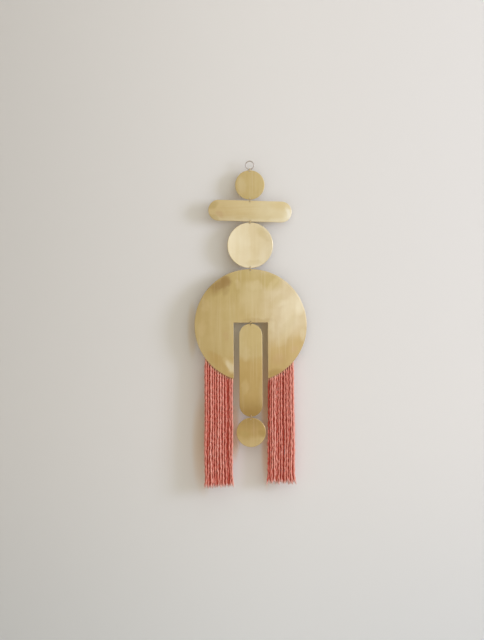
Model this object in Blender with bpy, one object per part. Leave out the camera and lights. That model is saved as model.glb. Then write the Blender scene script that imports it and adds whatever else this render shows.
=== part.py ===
"""A hanging brass sculpture: flat brass plates linked one below the other by small jump rings,
with a yarn fringe on each side of the largest plate.

Metres, +Z up. The origin is the inner top of the hanging ring, where the ring rests on its pin.
The plates hang in the XZ plane and their front faces look along -Y.
"""

import math

import bmesh
import bpy
import numpy as np
from mathutils import Vector

MM = 0.001

# Clearances
TOUCH_GAP = 0.3 * MM  # between two pieces that rest on or beside each other
PLATE_GAP = 1.2 * MM  # between the edges of two plates that are linked
RING_GAP = 0.4 * MM  # between the hanging ring and the edge of the top disc

# Wire rings
RING_BORE = 9.6 * MM  # inside diameter of the hanging ring
RING_WIRE = 1.6 * MM
LINK_WIRE = 0.8 * MM
HOLE_CLEARANCE = 0.4 * MM  # all round the wire of a jump ring in its hole
HOLE_WEB = 1.0 * MM  # brass left between a hole and the edge of its plate

# Brass plates
SHEET = 1.0 * MM
EDGE_BREAK = 0.15 * MM  # the sharp edge of the sheet taken off
TOP_DISC = 40.0 * MM
BAR_LENGTH = 113.3 * MM
BAR_HEIGHT = 28.5 * MM
BAR_TILT = 2.0  # degrees, the right end hangs lower
MIDDLE_DISC = 62.0 * MM
LARGE_DISC = 152.4 * MM
SLOT_RISE = 3.4 * MM  # top of the slot above the centre of the large disc
PENDANT_WIDTH = 31.4 * MM
PENDANT_LENGTH = 126.4 * MM
PENDANT_SIDE_GAP = 7.5 * MM  # open space in the slot on each side of the pendant
BOTTOM_DISC = 40.0 * MM

# Yarn fringes. Left and right are as seen from the front.
YARN = 2.4 * MM  # diameter of one yarn
YARNS_PER_SIDE = 12
YARN_TUCK = 9.0 * MM  # how far a fold reaches up behind the plate
YARN_SETTLE = 20.0 * MM  # drop over which a back leg moves half a space aside
LEFT_SPACE = 0.81 * MM  # open space between two yarns side by side
RIGHT_SPACE = 0.5 * MM
LEFT_SLOT_INSET = 0.5 * MM  # inner side of each fringe out from the slot
RIGHT_SLOT_INSET = 0.3 * MM
LEFT_LENGTH = 143.7 * MM  # from the bottom of the large disc down to the cut ends
RIGHT_LENGTH = 139.6 * MM
LEFT_SLANT = 1.3 * MM  # how much lower the outermost yarn ends than the middle one
RIGHT_SLANT = 0.3 * MM
LEFT_SPREAD = 0.2 * MM  # how much wider a fringe is at its cut ends than at the rim
RIGHT_SPREAD = 2.4 * MM
LEFT_DRIFT = -0.6 * MM  # how far the middle of a fringe drifts to the right on its way down
RIGHT_DRIFT = -0.1 * MM
LEFT_RECESS = 0.2 * MM  # how far the innermost yarn hangs back behind the others
RIGHT_RECESS = 2.2 * MM
END_STAGGER = 1.4 * MM  # the cut ends differ by up to this much
STAGGER_STEP = 0.618  # share of END_STAGGER from one yarn to the next, counted round
WAVE = 0.5 * MM  # sideways wave of the yarns
WAVE_LENGTH = 95.0 * MM

# Facets
LARGE_SIDES = 96
MIDDLE_SIDES = 64
SMALL_SIDES = 48
BAR_END_SIDES = 22
HOLE_SIDES = 12
RING_SIDES = 32
RING_WIRE_SIDES = 8
LINK_SIDES = 14
LINK_WIRE_SIDES = 6
LEG_POINTS = 6
FOLD_POINTS = 5
SMOOTH_BELOW = math.radians(30)
BREAK_ABOVE = math.radians(40)

# Colours, linear
BRASS = (0.60, 0.44, 0.17)
DULL_STEEL = (0.55, 0.52, 0.47)
CORAL = (0.58, 0.13, 0.09)

hole_radius = LINK_WIRE / 2 + HOLE_CLEARANCE
hole_inset = HOLE_WEB + hole_radius
slot_half = PENDANT_WIDTH / 2 + PENDANT_SIDE_GAP


def clear_scene():
    for thing in list(bpy.data.objects):
        bpy.data.objects.remove(thing, do_unlink=True)


def finish_material(name, colour, metallic, roughness):
    material = bpy.data.materials.new(name)
    material.use_nodes = True
    shader = material.node_tree.nodes["Principled BSDF"]
    shader.inputs["Base Color"].default_value = (*colour, 1.0)
    shader.inputs["Metallic"].default_value = metallic
    shader.inputs["Roughness"].default_value = roughness
    return material


def add_object(name, data, parent, material=None):
    thing = bpy.data.objects.new(name, data)
    bpy.context.scene.collection.objects.link(thing)
    thing.parent = parent
    if material:
        data.materials.append(material)
    return thing


def circle_outline(diameter, sides):
    angles = np.arange(sides) * 2 * math.pi / sides
    return [(diameter / 2 * math.cos(a), diameter / 2 * math.sin(a)) for a in angles]


def stadium_outline(length, width, tilt=0.0):
    """Two half circles joined by straight sides, lying along X and then turned by tilt degrees."""
    points = []
    straight = (length - width) / 2
    for side, start in ((1, -90), (-1, 90)):
        for step in range(BAR_END_SIDES + 1):
            angle = math.radians(start + 180 * step / BAR_END_SIDES)
            x = side * straight + width / 2 * math.cos(angle)
            points.append((x, width / 2 * math.sin(angle)))
    turn = math.radians(tilt)
    return [
        (x * math.cos(turn) - z * math.sin(turn), x * math.sin(turn) + z * math.cos(turn))
        for x, z in points
    ]


def slotted_outline(diameter, half_width, slot_rise):
    """A circle with a square-cornered slot that runs up from its bottom edge to slot_rise."""
    radius = diameter / 2
    open_angle = math.asin(half_width / radius)
    arc = 2 * math.pi - 2 * open_angle
    points = []
    for step in range(LARGE_SIDES + 1):
        angle = -math.pi / 2 + open_angle + arc * step / LARGE_SIDES
        points.append((radius * math.cos(angle), radius * math.sin(angle)))
    points += [(-half_width, slot_rise), (half_width, slot_rise)]
    return points


def hole_cutter(name, parent, heights):
    """Round bars along Y on the plate's upright middle line, one at each height."""
    mesh = bmesh.new()
    for height in heights:
        made = bmesh.ops.create_cone(
            mesh,
            cap_ends=True,
            segments=HOLE_SIDES,
            radius1=hole_radius,
            radius2=hole_radius,
            depth=2 * SHEET,
        )
        for vertex in made["verts"]:
            across, along, depth = vertex.co
            vertex.co = Vector((across, -depth, height + along))
    bmesh.ops.recalc_face_normals(mesh, faces=mesh.faces)
    data = bpy.data.meshes.new(name)
    mesh.to_mesh(data)
    mesh.free()
    cutter = add_object(name, data, parent)
    cutter.hide_render = True
    cutter.display_type = "WIRE"
    return cutter


def brass_plate(name, outline, centre_z, hole_heights, parent, material):
    """A sheet with this outline, its edges broken, drilled on its upright middle line. Outline
    and hole heights are measured from the plate's centre."""
    mesh = bmesh.new()
    front = mesh.faces.new([mesh.verts.new((x, -SHEET / 2, z)) for x, z in outline])
    pushed = bmesh.ops.extrude_face_region(mesh, geom=[front])
    back = [piece for piece in pushed["geom"] if isinstance(piece, bmesh.types.BMVert)]
    bmesh.ops.translate(mesh, verts=back, vec=(0, SHEET, 0))
    bmesh.ops.recalc_face_normals(mesh, faces=mesh.faces)
    data = bpy.data.meshes.new(name)
    mesh.to_mesh(data)
    mesh.free()
    data.shade_smooth()
    data.set_sharp_from_angle(angle=SMOOTH_BELOW)
    plate = add_object(name, data, parent, material)
    plate.location = (0, 0, centre_z)
    broken = plate.modifiers.new("edge break", "BEVEL")
    broken.width = EDGE_BREAK
    broken.segments = 1
    broken.limit_method = "ANGLE"
    broken.angle_limit = BREAK_ABOVE
    drilled = plate.modifiers.new("holes", "BOOLEAN")
    drilled.operation = "DIFFERENCE"
    drilled.solver = "EXACT"
    drilled.object = hole_cutter(name + "_cutter", plate, hole_heights)
    return plate


def wire_ring(name, mean_radius, wire, centre_z, edge_on, sides, wire_sides, parent, material):
    """A torus: a round wire section swept round a circle. Edge on it lies in the YZ plane and
    face on in the XZ plane."""
    around = np.arange(sides) * 2 * math.pi / sides
    across = (np.arange(wire_sides) + 0.5) * 2 * math.pi / wire_sides
    a, c = np.meshgrid(around, across, indexing="ij")
    reach = mean_radius + wire / 2 * np.cos(c)
    flat = reach * np.cos(a)
    rise = reach * np.sin(a)
    out = wire / 2 * np.sin(c)
    places = (out, flat, rise) if edge_on else (flat, -out, rise)
    points = np.stack(places, axis=-1).reshape(-1, 3)
    quads = []
    for i in range(sides):
        for j in range(wire_sides):
            i_next = (i + 1) % sides
            j_next = (j + 1) % wire_sides
            quads.append(
                (
                    i * wire_sides + j,
                    i_next * wire_sides + j,
                    i_next * wire_sides + j_next,
                    i * wire_sides + j_next,
                )
            )
    data = bpy.data.meshes.new(name)
    data.from_pydata(points.tolist(), [], quads)
    mesh = bmesh.new()
    mesh.from_mesh(data)
    bmesh.ops.recalc_face_normals(mesh, faces=mesh.faces)
    mesh.to_mesh(data)
    mesh.free()
    data.shade_smooth()
    ring = add_object(name, data, parent, material)
    ring.location = (0, 0, centre_z)
    return ring


def jump_ring(name, upper_z, lower_z, parent, material):
    """An edge-on ring whose wire crosses the sheet at upper_z and at lower_z."""
    mean_radius = (upper_z - lower_z) / 2
    middle = (upper_z + lower_z) / 2
    return wire_ring(
        name, mean_radius, LINK_WIRE, middle, True, LINK_SIDES, LINK_WIRE_SIDES, parent, material
    )


def leg_points(fringe, x, y, top_z, shorter, aside, recess):
    """One yarn leg from its fold to its cut end, moving aside and back as it leaves the fold.
    Below the plate the fringe spreads and drifts in step with the drop, and waves more lower
    down."""
    off_middle = (x - fringe["middle"]) / fringe["half"]
    outer = fringe["outward"] * off_middle
    bottom_z = fringe["end_z"] - fringe["slant"] * outer + shorter
    points = []
    for step in range(LEG_POINTS):
        z = top_z + (bottom_z - top_z) * step / (LEG_POINTS - 1)
        settled = min(1.0, (top_z - z) / YARN_SETTLE)
        drop = max(0.0, (fringe["plate_z"] - z) / fringe["length"])
        spread = fringe["spread"] / 2 * off_middle + fringe["drift"]
        wave = WAVE * math.sin(2 * math.pi * z / WAVE_LENGTH + fringe["outward"])
        leg_x = x + aside * settled + drop * (spread + wave)
        points.append(Vector((leg_x, y + recess * settled, z)))
    return points


def doubled_yarn(name, fringe, x, stagger, recess, parent, material):
    """One yarn folded in half: the fold lies behind the plate and both legs hang down, the back
    leg half a space further out so that it shows between two front legs."""
    front_y = SHEET / 2 + TOUCH_GAP + YARN / 2
    back_y = front_y + YARN + TOUCH_GAP
    rim_z = large_z - math.sqrt((LARGE_DISC / 2) ** 2 - x**2)
    fold_z = rim_z + YARN_TUCK
    aside = fringe["outward"] * fringe["pitch"] / 2
    front = leg_points(fringe, x, front_y, fold_z, stagger * END_STAGGER, 0.0, recess)
    back = leg_points(fringe, x, back_y, fold_z, (1 - stagger) * END_STAGGER, aside, recess)
    half_way = (front[0] + back[0]) / 2
    reach = (back[0] - front[0]) / 2
    fold = []
    for step in range(1, FOLD_POINTS):
        angle = math.pi * step / FOLD_POINTS
        rise = Vector((0, 0, reach.length * math.sin(angle)))
        fold.append(half_way - reach * math.cos(angle) + rise)
    path = front[::-1] + fold + back
    curve = bpy.data.curves.new(name, "CURVE")
    curve.dimensions = "3D"
    curve.bevel_depth = YARN / 2
    curve.bevel_resolution = 1
    curve.use_fill_caps = True
    spline = curve.splines.new("POLY")
    spline.points.add(len(path) - 1)
    for point, place in zip(spline.points, path):
        point.co = (*place, 1.0)
    spline.use_smooth = True
    return add_object(name, curve, parent, material)


def yarn_fringe(side, outward, inner, sizes, parent, material):
    """Doubled yarns side by side from x = inner outward. The sizes are the open space between two
    yarns, the length, slant, spread and drift, and the recess of the innermost yarn."""
    space, length, slant, spread, drift, recess = sizes
    pitch = YARN + space
    half = (YARNS_PER_SIDE * pitch - space) / 2
    plate_z = large_z - LARGE_DISC / 2
    fringe = {
        "outward": outward,
        "pitch": pitch,
        "middle": outward * (inner + half),
        "half": half,
        "plate_z": plate_z,
        "length": length,
        "end_z": plate_z - length,
        "slant": slant,
        "spread": spread,
        "drift": drift,
    }
    for index in range(YARNS_PER_SIDE):
        x = outward * (inner + YARN / 2 + index * pitch)
        stagger = (index * STAGGER_STEP) % 1
        name = f"{side}_yarn_{index + 1:02d}"
        hang_back = recess if index == 0 else 0.0
        doubled_yarn(name, fringe, x, stagger, hang_back, parent, material)


clear_scene()
hanging_point = add_object("hanging_point", None, None)

# Heights of the chain, from the hanging ring down
ring_radius = (RING_BORE + RING_WIRE) / 2
ring_z = -RING_BORE / 2
ring_bottom_z = ring_z - ring_radius
bar_half = BAR_HEIGHT / 2 / math.cos(math.radians(BAR_TILT))
top_z = ring_bottom_z - RING_WIRE / 2 - RING_GAP - TOP_DISC / 2
bar_z = top_z - TOP_DISC / 2 - PLATE_GAP - bar_half
middle_z = bar_z - bar_half - PLATE_GAP - MIDDLE_DISC / 2
large_z = middle_z - MIDDLE_DISC / 2 - PLATE_GAP - LARGE_DISC / 2
slot_z = large_z + SLOT_RISE
pendant_z = slot_z - PLATE_GAP - PENDANT_LENGTH / 2
bottom_z = pendant_z - PENDANT_LENGTH / 2 - PLATE_GAP - BOTTOM_DISC / 2

brass = finish_material("brass", BRASS, 1.0, 0.35)
ring_metal = finish_material("ring_metal", DULL_STEEL, 1.0, 0.3)
yarn = finish_material("yarn", CORAL, 0.0, 0.9)

# Plates. A hole's height is measured from the centre of its own plate.
top_hole = TOP_DISC / 2 - hole_inset
bar_hole = bar_half - hole_inset
middle_hole = MIDDLE_DISC / 2 - hole_inset
large_hole = LARGE_DISC / 2 - hole_inset
slot_hole = SLOT_RISE + hole_inset
pendant_hole = PENDANT_LENGTH / 2 - hole_inset
bottom_hole = BOTTOM_DISC / 2 - hole_inset

plates = [
    ("top_disc", circle_outline(TOP_DISC, SMALL_SIDES), top_z, (top_hole, -top_hole)),
    ("cross_bar", stadium_outline(BAR_LENGTH, BAR_HEIGHT, -BAR_TILT), bar_z, (bar_hole, -bar_hole)),
    (
        "middle_disc",
        circle_outline(MIDDLE_DISC, MIDDLE_SIDES),
        middle_z,
        (middle_hole, -middle_hole),
    ),
    (
        "large_disc",
        slotted_outline(LARGE_DISC, slot_half, SLOT_RISE),
        large_z,
        (large_hole, slot_hole),
    ),
    (
        "pendant_bar",
        stadium_outline(PENDANT_LENGTH, PENDANT_WIDTH, 90),
        pendant_z,
        (pendant_hole, -pendant_hole),
    ),
    ("bottom_disc", circle_outline(BOTTOM_DISC, SMALL_SIDES), bottom_z, (bottom_hole,)),
]
for plate_name, outline, centre_z, holes in plates:
    brass_plate(plate_name, outline, centre_z, holes, hanging_point, brass)

# Rings. Each jump ring runs from a hole in the plate above to one in the plate below.
wire_ring(
    "hanging_ring",
    ring_radius,
    RING_WIRE,
    ring_z,
    False,
    RING_SIDES,
    RING_WIRE_SIDES,
    hanging_point,
    ring_metal,
)
over_ring_wire = ring_bottom_z + RING_WIRE / 2 + TOUCH_GAP + LINK_WIRE / 2
links = [
    ("ring_link", over_ring_wire, top_z + top_hole),
    ("top_disc_link", top_z - top_hole, bar_z + bar_hole),
    ("cross_bar_link", bar_z - bar_hole, middle_z + middle_hole),
    ("middle_disc_link", middle_z - middle_hole, large_z + large_hole),
    ("pendant_link", large_z + slot_hole, pendant_z + pendant_hole),
    ("bottom_disc_link", pendant_z - pendant_hole, bottom_z + bottom_hole),
]
for link_name, upper_z, lower_z in links:
    jump_ring(link_name, upper_z, lower_z, hanging_point, brass)

# Fringes
yarn_fringe(
    "left",
    -1,
    slot_half + LEFT_SLOT_INSET,
    (LEFT_SPACE, LEFT_LENGTH, LEFT_SLANT, LEFT_SPREAD, LEFT_DRIFT, LEFT_RECESS),
    hanging_point,
    yarn,
)
yarn_fringe(
    "right",
    1,
    slot_half + RIGHT_SLOT_INSET,
    (RIGHT_SPACE, RIGHT_LENGTH, RIGHT_SLANT, RIGHT_SPREAD, RIGHT_DRIFT, RIGHT_RECESS),
    hanging_point,
    yarn,
)
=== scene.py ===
"""The look of a hanging brass sculpture: brushed brass plates linked by small wire rings, with a
coral yarn fringe on each side of the largest plate.

Metres, +Z up, fronts towards -Y. Every new piece is a surface worked out with numpy, set where
the frame has the node that it replaces.
"""

import math

import bmesh
import bpy
import numpy as np
from mathutils import Euler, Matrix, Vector


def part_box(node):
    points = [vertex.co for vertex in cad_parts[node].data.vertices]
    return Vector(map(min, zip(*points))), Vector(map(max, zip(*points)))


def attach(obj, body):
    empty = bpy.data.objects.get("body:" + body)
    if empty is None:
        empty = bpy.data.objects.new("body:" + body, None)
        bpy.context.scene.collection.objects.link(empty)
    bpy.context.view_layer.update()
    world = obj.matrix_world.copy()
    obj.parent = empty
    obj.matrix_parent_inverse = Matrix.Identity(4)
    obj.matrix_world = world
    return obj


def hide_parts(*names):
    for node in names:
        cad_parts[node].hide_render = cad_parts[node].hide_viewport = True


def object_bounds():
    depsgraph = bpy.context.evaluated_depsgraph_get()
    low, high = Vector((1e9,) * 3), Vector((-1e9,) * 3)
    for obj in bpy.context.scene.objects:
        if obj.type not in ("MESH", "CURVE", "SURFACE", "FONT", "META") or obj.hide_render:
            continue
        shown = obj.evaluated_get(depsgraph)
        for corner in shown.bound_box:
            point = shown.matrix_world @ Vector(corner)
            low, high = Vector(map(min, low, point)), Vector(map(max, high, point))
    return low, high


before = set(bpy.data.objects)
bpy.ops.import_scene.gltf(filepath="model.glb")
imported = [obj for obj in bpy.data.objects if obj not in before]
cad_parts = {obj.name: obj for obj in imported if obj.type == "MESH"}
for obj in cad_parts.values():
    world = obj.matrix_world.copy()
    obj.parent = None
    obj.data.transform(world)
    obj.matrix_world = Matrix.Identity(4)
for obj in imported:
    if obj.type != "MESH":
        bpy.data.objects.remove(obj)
cad_low, cad_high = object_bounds()

MM = 0.001

# Brass plates
SHEET = 1.0 * MM
EDGE_ROUND = 0.47 * MM
HOLE = 1.6 * MM
HOLE_INSET = 1.8 * MM  # centre of a hole from the edge of its plate
PLATE_GAP = 1.2 * MM
BAR_TILT = 2.0  # degrees, the right end hangs lower
BAR_HEIGHT = 28.5 * MM
BAR_LENGTH = 113.3 * MM
PENDANT_SIDE_GAP = 7.5 * MM

# How finely the plates are divided
FACE_ROWS = 26  # rows of points from a plate's core to its edge
EDGE_ROWS = 5  # rows round one half of the rounded edge
ROWS_CLOSER = 0.8  # below 1 the rows stand closer towards the edge
SMALL_DISC_SIDES = 160
MIDDLE_DISC_SIDES = 200
BAR_ARC_SIDES = 48
BAR_STRAIGHT_SIDES = 60
SLOT_SIDE_POINTS = 80  # along each side of the slot, and along its top
SLOT_TOP_POINTS = 120
SLOT_CORNER_SHARE = 0.35  # of the way round the large plate where the slot's first corner comes
HOLE_SIDES = 24
DRILL_REACH = 3.0 * SHEET  # in front of a sheet and behind it
SHARP_EDGE = 35  # degrees of bend from which an edge of a plate looks sharp
SHARP_HOLE = 30
SHARP_WIRE = 50

# Wire rings
LINK_WIRE = 0.8 * MM
LINK_CUT = 4.0  # degrees of hairline gap where a jump ring was closed
LINK_SIDES = (48, 14)  # round the ring, and round its wire
RING_WIRE = 1.6 * MM
RING_SIDES = (96, 20)

# Yarn fringes, with the sizes of the solids they replace
YARN = 2.4 * MM
YARNS_PER_SIDE = 12
TOUCH_GAP = 0.3 * MM
YARN_TUCK = 9.0 * MM
YARN_SETTLE = 20.0 * MM
STAGGER_STEP = 0.618
WAVE = 0.5 * MM
WAVE_LENGTH = 95.0 * MM
# Outward is -1 to the left and 1 to the right. Space is left between two yarns, and inset beside
# the slot. Length runs from the lowest point of the plate down to the cut ends, which slant up
# towards the slot, differ in length by the stagger and flare at the sides of the fringe. Over that
# length the fringe spreads and drifts, to the right where it says more than 0, and the innermost
# yarn lies back by the recess.
# Painted brass glow is how strongly the yarns get a painted glow of brass-coloured light just below
# the plate.
# Aside says how far each front leg stands to the right of its solid, with one more for the yarn
# that would come next, and sunk how far behind it, in millimetres from the innermost yarn out.
FRINGES = {
    "left": {
        "outward": -1,
        "space": 0.81 * MM,
        "inset": 0.5 * MM,
        "length": 143.7 * MM,
        "slant": 1.3 * MM,
        "spread": 0.2 * MM,
        "drift": -0.6 * MM,
        "recess": 0.2 * MM,
        "stagger": 3.0 * MM,
        "flare": 1.8 * MM,
        "painted_brass_glow": 0.65,
        "aside": (-0.6, -0.5, 0.1, 0.6, 0.1, -0.2, -0.5, -0.7, -0.6, -0.4, -0.7, -0.5, -0.1),
        "sunk": (-0.2, 0.0, 1.5, 0.1, 0.1, 0.2, 0.3, 0.4, 0.3, -0.2, 0.8, 0.0),
        "seed": 11,
    },
    "right": {
        "outward": 1,
        "space": 0.5 * MM,
        "inset": 0.3 * MM,
        "length": 139.6 * MM,
        "slant": 0.3 * MM,
        "spread": 2.4 * MM,
        "drift": -0.1 * MM,
        "recess": 2.2 * MM,
        "stagger": 4.2 * MM,
        "flare": 2.6 * MM,
        "painted_brass_glow": 0.45,
        "aside": (-0.5, -1.0, -1.2, -0.8, -1.0, -1.0, -0.8, 0.7, 1.0, 0.8, 0.4, 0.6, -1.4),
        "sunk": (0.2, 0.7, 0.2, -0.2, 1.0, 0.2, 0.0, -0.2, -0.3, 0.6, -0.2, -0.3),
        "seed": 23,
    },
}

# How a yarn hangs
STEP = 1.0 * MM  # along the yarn from one ring of points to the next
FOLD_POINTS = 7
STRAYS = (  # waves by which a leg strays: length, reach, and share of the reach at the plate
    (90.0 * MM, 0.35 * MM, 0.1),
    (29.0 * MM, 0.16 * MM, 0.3),
    (12.5 * MM, 0.19 * MM, 0.5),
)
STRAY_STRETCH = (0.8, 1.25)  # such a wave is at least and at most that many times as long
BACK_STRAY = 0.3  # share of that by which a back leg strays
BACK_SUNK = 0.25 * MM
RECESS_FADE = 0.7  # share of the recess that is gone at the cut ends
CUT_LOWER = 0.8 * MM  # how much lower than the solids the lowest yarn ends
FLARE_LENGTH = 14.0 * MM  # length over which the outer yarns kick out at their cut ends
PUFF = 0.7 * MM  # how far the yarns come forward below the plate's edge
PUFF_FROM = 1.2 * MM  # how far below the edge they start to, and are all forward
PUFF_TO = 4.5 * MM

# Twist of the plies
PLIES = 2
PLY_SIDES = 8
PLY_RADIUS = 0.76 * MM
PLY_ORBIT = 0.46 * MM  # from the middle of the yarn to the middle of a ply
TWIST = 18.0 * MM  # length of one turn of the plies
UNEVEN_TWIST = 0.8  # radians by which the plies run ahead and lag behind
UNEVEN_PLY = 0.12  # share by which a ply is thicker and thinner
UNEVEN_LENGTH = 31.0 * MM
UNEVEN_QUICKER = 1.7  # waves of a ply's thickness to one of its lag
UNEVEN_APART = 2.0  # radians from the wave of one ply's thickness to the next ply's
BACK_PLY = 1.68  # how many times as thick the plies of a hidden leg are
BACK_ORBIT = 0.8  # and how many times as far out they stand
PLY_END = 0.5 * MM  # length over which a ply closes

# Fray and fuzz
FRAY = 5.0 * MM  # length over which a cut end opens
FRAY_LATE = 1.5  # above 1 the cut end opens most near its very end
FRAY_OPEN = 0.7  # share by which its plies stand further out
FRAY_THIN = 0.45  # share by which they are thinner
FIBRE_SIDES = 3
FIBRE_THIN_END = 0.35
FUZZ_PER_PLY = 70
FUZZ_FREE = 8  # points at each end of a yarn with no fuzz
FUZZ_POINTS = 4
FUZZ_RADIUS = 0.045 * MM
FUZZ_LENGTH = (1.6, 3.6)  # least and most, in millimetres
FUZZ_LIFT = (0.15, 0.42)  # least and most, as shares of the length
FUZZ_SLIDE = (-0.5, 0.5)
FUZZ_ROOT = 0.9  # share of the ply's radius at which a fibre starts
END_FIBRES = 30
END_POINTS = 5
END_RADIUS = 0.085 * MM
END_LENGTH = (2.2, 3.9)  # least and most, in millimetres
END_OPEN = (0.12, 0.4)  # least and most, as shares of the length
END_INSIDE = 2.0 * MM  # how far up inside the yarn such a fibre starts
END_SPREAD = 0.7 * MM  # how far from the middle
END_BACK = 4  # points back from the cut end to the one that tells which way it points

# Marks that the yarn's finish reads, with painted shade between the layers and painted brass glow
PLY_PALE = 0.9  # how pale a ply is where it frays most
FUZZ_PALE = 0.12  # how pale a fibre of the fuzz is at its free end
END_PALE = 0.95  # and a fibre of a cut end
FRONT_DIM = (1.2 * MM, 3.0 * MM)  # depths at which the painted shade on a front leg starts, and is full
BACK_DIM = (1.0 * MM, 0.3 * MM)  # the same for a back leg, from its own middle back
GLOW_LENGTH = 5.0 * MM  # how far below the edge the yarns get a painted glow of brass-coloured light
GLOW_START = (-3.0 * MM, -1.0 * MM)  # heights below the edge at which it starts, and is all there
GLOW_DEPTH = (3.9 * MM, 3.2 * MM)  # depths at which it starts, and is all there

# Room and camera
WALL_BEHIND = 17.5 * MM  # at the large disc's centre
WALL_LEAN = 1.4  # degrees, the wall comes nearer towards the top
WALL_TURN = 3.5  # degrees, the wall comes nearer towards the right
WALL_SPAN = 4.0
FLOOR_SPAN = 6.0
FLOOR_AHEAD = 1.0
FLOOR_DROP = 1.35
WINDOW_FROM = 60.5  # degrees from straight ahead, to the right
WINDOW_FAR = 2.2
WINDOW_RAISE = 0.30
WINDOW_WIDTH = 0.55
WINDOW_HEIGHT = 0.8
WINDOW_WATTS = 20.6
WINDOW_TINT = (0.71, 0.765, 1.0)
LENS = 85.0
SENSOR = 36.0
PHOTO_HEIGHT = 0.8685  # what the picture's height spans at the plates
CAMERA_X = -11.6 * MM
CAMERA_Z = -214.75 * MM
CAMERA_ROLL = 0.32  # degrees


# Shader building

class Shade:
    """One shader socket. Arithmetic on it adds Math nodes."""

    def __init__(self, finish, socket):
        self.finish = finish
        self.socket = socket

    def math(self, operation, *values):
        return self.finish.node("ShaderNodeMath", {"operation": operation}, dict(enumerate(values)))

    def __add__(self, other):
        return self.math("ADD", self, other)

    def __sub__(self, other):
        return self.math("SUBTRACT", self, other)

    def __rsub__(self, other):
        return self.math("SUBTRACT", other, self)

    def __mul__(self, other):
        return self.math("MULTIPLY", self, other)

    __radd__ = __add__
    __rmul__ = __mul__


class Finish:
    """The node tree of one material or of the world."""

    def __init__(self, name, tree=None):
        self.material = None
        if tree is None:
            self.material = bpy.data.materials.new(name)
            self.material.use_nodes = True
            tree = self.material.node_tree
        tree.nodes.clear()
        self.tree = tree

    def node(self, kind, settings=None, sockets=None, output=0):
        """Adds a node, makes its settings, then fills or links its sockets."""
        made = self.tree.nodes.new(kind)
        for key, value in (settings or {}).items():
            setattr(made, key, value)
        for key, value in (sockets or {}).items():
            if isinstance(value, Shade):
                self.tree.links.new(value.socket, made.inputs[key])
            else:
                made.inputs[key].default_value = value
        return Shade(self, made.outputs[output])

    def place(self):
        return self.node("ShaderNodeTexCoord", output="Object")

    def parts(self, vector):
        """The X, Y and Z of a vector."""
        split = self.node("ShaderNodeSeparateXYZ", {}, {0: vector}).socket.node
        return [Shade(self, socket) for socket in split.outputs]

    def vector(self, operation, *values, output="Vector"):
        """Arithmetic on vectors. An operation that gives one number has it as the output Value."""
        sockets = dict(enumerate(values))
        return self.node("ShaderNodeVectorMath", {"operation": operation}, sockets, output)

    def turn(self, vector, angle):
        """A vector turned about the Y axis."""
        settings = {"rotation_type": "Y_AXIS"}
        return self.node("ShaderNodeVectorRotate", settings, {"Vector": vector, "Angle": angle})

    def noise(self, vector, scale, detail=2.0, roughness=0.5, output="Fac"):
        sockets = {"Vector": vector, "Scale": scale, "Detail": detail, "Roughness": roughness}
        return self.node("ShaderNodeTexNoise", {}, sockets, output)

    def streaks(self, vector, scale, along, detail):
        """Noise drawn out along Z, where its scale is only a share of that across."""
        return self.noise(self.vector("MULTIPLY", vector, (1.0, 1.0, along)), scale, detail)

    def ease(self, value, start, end):
        """0 before start, 1 after end, and a smooth step between."""
        settings = {"interpolation_type": "SMOOTHSTEP"}
        return self.node("ShaderNodeMapRange", settings, {0: value, 1: start, 2: end})

    def mix(self, share, first, second, blend="MIX"):
        settings = {"data_type": "RGBA", "blend_type": blend}
        return self.node("ShaderNodeMix", settings, {0: share, 6: first, 7: second}, 2)

    def lay(self, shade, tint, mask, start, end, strength=1.0, blend="MIX"):
        """A shade with a tint over it, which comes in as the mask goes from start to end."""
        return self.mix(self.ease(mask, start, end) * strength, shade, tint, blend)

    def attribute(self, name):
        return self.node("ShaderNodeAttribute", {"attribute_name": name}, {}, "Fac")

    def bump(self, height, distance, normal=None):
        sockets = {"Height": height, "Distance": distance, "Strength": 1.0}
        if normal is not None:
            sockets["Normal"] = normal
        return self.node("ShaderNodeBump", {}, sockets)

    def output(self, surface, kind="ShaderNodeOutputMaterial"):
        """Links the surface to the end of the tree and returns the finished material, if any."""
        end = self.tree.nodes.new(kind)
        self.tree.links.new(surface.socket, end.inputs["Surface"])
        return self.material


def colour(red, green, blue):
    return (red, green, blue, 1.0)


# Finishes

BRASS = colour(0.68, 0.54, 0.265)
BRASS_LIGHT = colour(0.79, 0.645, 0.36)
BRASS_OLIVE = colour(0.62, 0.49, 0.215)
BRASS_GOLD = colour(0.63, 0.455, 0.19)
BRASS_DEEP = colour(0.47, 0.31, 0.11)
BRASS_PALE = colour(0.80, 0.68, 0.42)
BRASS_DUSTY = colour(0.79, 0.67, 0.46)
BRASS_CREAM = colour(0.90, 0.81, 0.60)
BRASS_GLINT = colour(0.97, 0.91, 0.76)
TARNISH = colour(0.42, 0.28, 0.115)
TARNISH_PINK = colour(0.66, 0.45, 0.26)
MOTTLE = colour(0.90, 0.86, 0.76)
BRASS_BACK = colour(0.60, 0.43, 0.17)
BRASS_HONEY = colour(0.815, 0.695, 0.45)
FINE_STREAKS = (2600.0, 0.02, 3.0)  # scale, share of it along the brushing, and detail
STREAKS = (420.0, 0.04, 3.0)
BANDS = (90.0, 0.10, 2.0)
CLOUDS = (38.0, 3.0, 0.55)  # scale, detail and roughness
WANDER = (12.0 * MM, 0.0, 12.0 * MM)  # how far the edges of the washes and spots stray, each way in all
WANDER_NOISE = (60.0, 3.0)  # scale and detail
FINE_DEPTH = 0.004 * MM
CLOUD_DEPTH = 0.12 * MM
BAND_DEPTH = 0.06 * MM
BRASS_ROUGH = 0.30
STREAK_ROUGHER = 0.08
CLOUD_ROUGHER = 0.06
# Share of pale tint on the rounded edge: a painted edge highlight
RIM_PAINTED_HIGHLIGHT = 0.25
SPOT_FULL = 0.05  # square of the share of its half size over which a spot has all its strength
RIGHTWARD = 0.0
UPWARD = 90.0


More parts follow.
